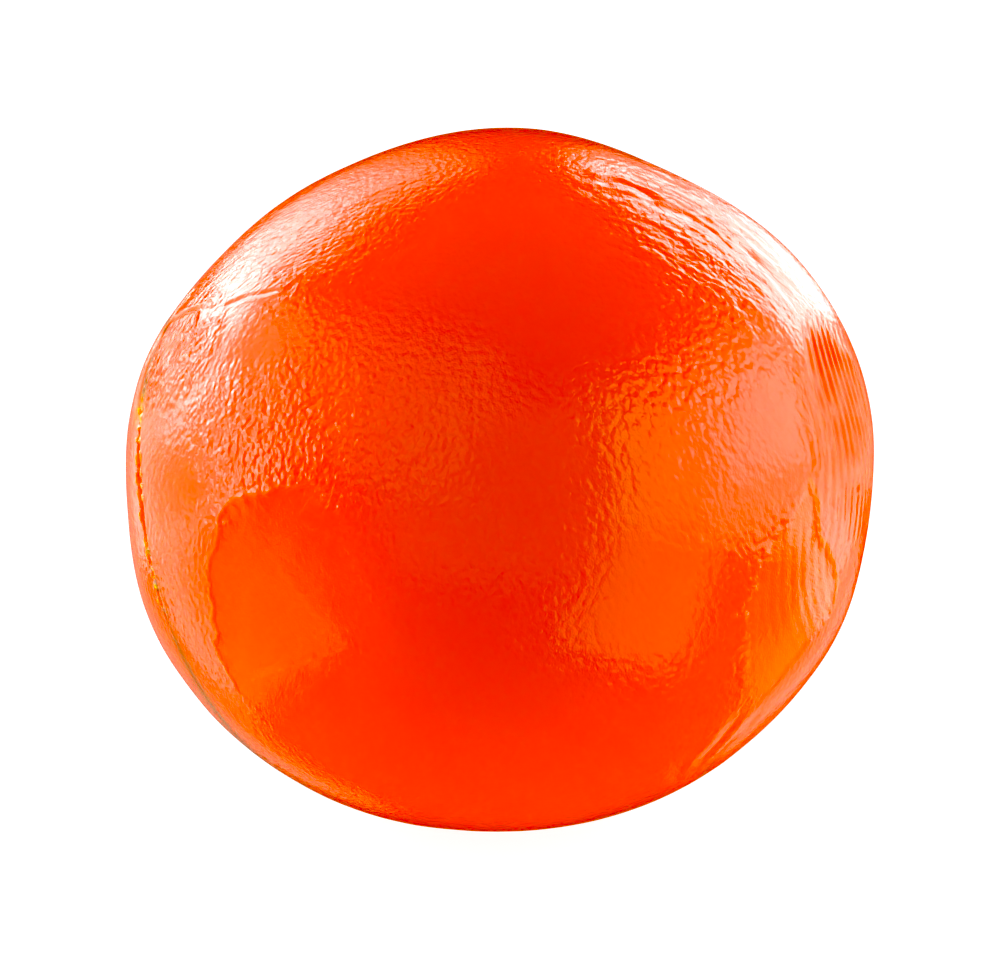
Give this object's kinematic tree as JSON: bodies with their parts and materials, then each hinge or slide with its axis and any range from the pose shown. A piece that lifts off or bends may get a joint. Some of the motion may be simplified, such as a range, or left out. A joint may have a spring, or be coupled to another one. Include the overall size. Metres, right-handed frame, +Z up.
{
  "type": "putty ball",
  "caption": "Small hand-rolled ball of glossy modelling putty with pressed flats, fingertip marks, a flap folded onto its back left side and a small flat underside to rest on.",
  "frame": {"origin": "middle of the underside, on the surface that the ball rests on", "axes": "+Z up, +X along the widest way across the ball, -Y towards the front, with the folded flap at the back left (-X, +Y)"},
  "size_m": [0.028, 0.0272, 0.0261],
  "materials": {
    "putty": "gloss"
  },
  "bodies": {
    "root": {"main_lump": "putty", "folded_flap": "putty"}
  },
  "joints": []
}
